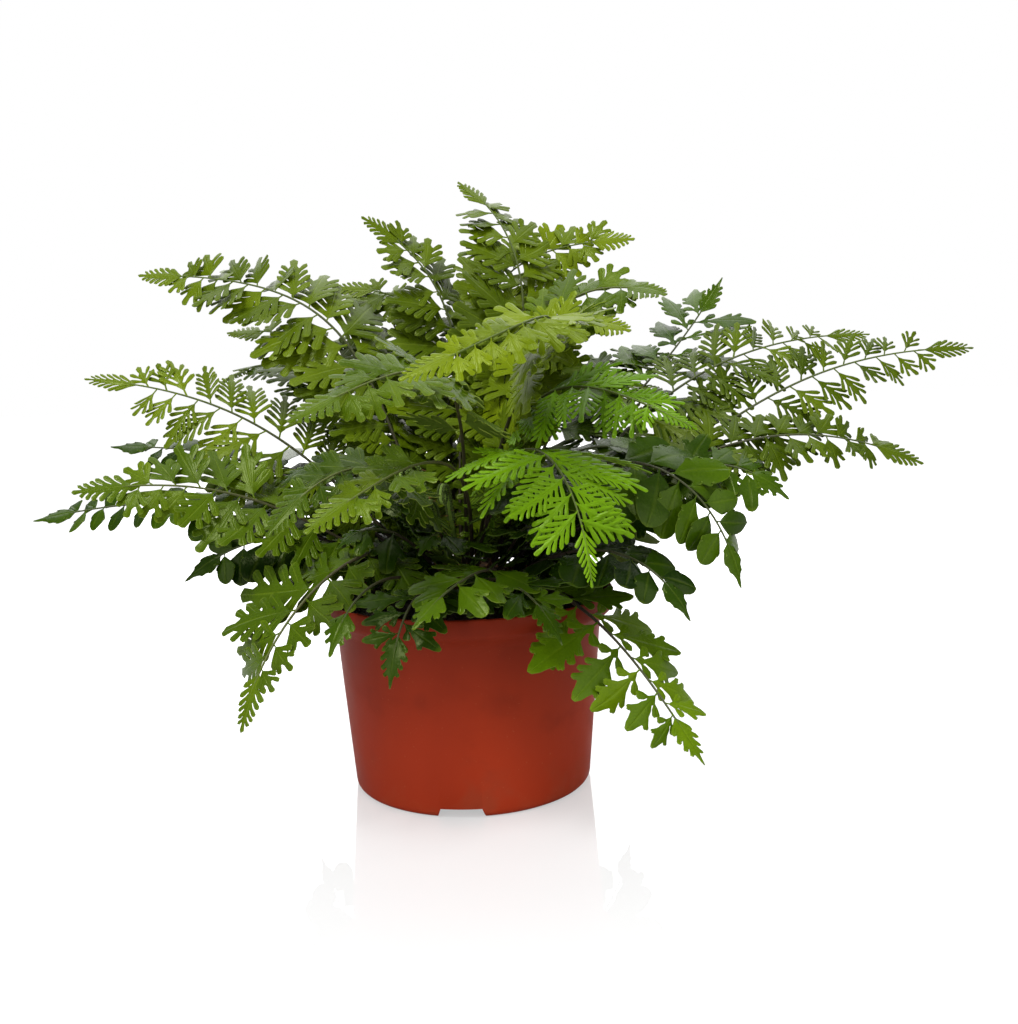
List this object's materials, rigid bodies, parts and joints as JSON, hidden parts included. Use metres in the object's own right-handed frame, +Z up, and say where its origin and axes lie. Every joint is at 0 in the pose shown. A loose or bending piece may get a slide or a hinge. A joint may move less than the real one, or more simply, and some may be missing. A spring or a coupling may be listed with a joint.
{
  "type": "potted fern",
  "caption": "Small round fern with arching, leathery, feathered fronds of three leaf shapes, growing from a crown in a plain terracotta coloured plastic nursery pot.",
  "frame": {"origin": "centre of the pot's underside, on the surface it stands on", "axes": "+Z up, +X to the right seen from the plant's front, +Y to its back"},
  "size_m": [0.383, 0.2747, 0.25],
  "materials": {
    "pot_plastic": "moulded terracotta coloured polypropylene, semi-matt with soft vertical highlights",
    "soil": null,
    "rhizome": "dark scaly root crown",
    "young_frond": null,
    "leaf_broad": null,
    "leaf_lobed": null,
    "leaf_fine": null
  },
  "bodies": {
    "root": {"nursery_pot": "pot_plastic", "potting_soil": "soil", "crown": "rhizome", "crozier_1": "young_frond", "crozier_2": "young_frond", "crozier_3": "young_frond", "frond_fine_01": "leaf_fine", "frond_fine_02": "leaf_fine", "frond_lobed_01": "leaf_lobed", "frond_fine_03": "leaf_fine", "frond_lobed_02": "leaf_lobed", "frond_lobed_03": "leaf_lobed", "frond_broad_01": "leaf_broad", "frond_broad_02": "leaf_broad", "frond_broad_03": "leaf_broad", "frond_broad_04": "leaf_broad", "frond_broad_05": "leaf_broad", "frond_fine_04": "leaf_fine", "frond_fine_05": "leaf_fine", "frond_lobed_04": "leaf_lobed", "frond_fine_06": "leaf_fine", "frond_fine_07": "leaf_fine", "frond_fine_08": "leaf_fine", "frond_lobed_05": "leaf_lobed", "frond_broad_06": "leaf_broad", "frond_broad_07": "leaf_broad", "frond_fine_09": "leaf_fine", "frond_fine_10": "leaf_fine", "frond_fine_11": "leaf_fine", "frond_lobed_06": "leaf_lobed", "frond_broad_08": "leaf_broad", "frond_fine_12": "leaf_fine", "frond_broad_09": "leaf_broad", "frond_fine_13": "leaf_fine", "frond_broad_10": "leaf_broad", "frond_broad_11": "leaf_broad", "frond_broad_12": "leaf_broad", "frond_broad_13": "leaf_broad", "frond_lobed_07": "leaf_lobed", "frond_lobed_08": "leaf_lobed", "frond_lobed_09": "leaf_lobed", "frond_lobed_10": "leaf_lobed", "frond_broad_14": "leaf_broad", "frond_broad_15": "leaf_broad", "frond_broad_16": "leaf_broad", "frond_broad_17": "leaf_broad", "frond_fine_14": "leaf_fine", "frond_broad_18": "leaf_broad", "frond_broad_19": "leaf_broad", "frond_broad_20": "leaf_broad", "frond_broad_21": "leaf_broad", "frond_broad_22": "leaf_broad", "frond_broad_23": "leaf_broad", "frond_broad_24": "leaf_broad", "frond_broad_25": "leaf_broad", "frond_broad_26": "leaf_broad", "frond_broad_27": "leaf_broad", "frond_broad_28": "leaf_broad", "frond_broad_29": "leaf_broad", "frond_broad_30": "leaf_broad"}
  },
  "joints": []
}
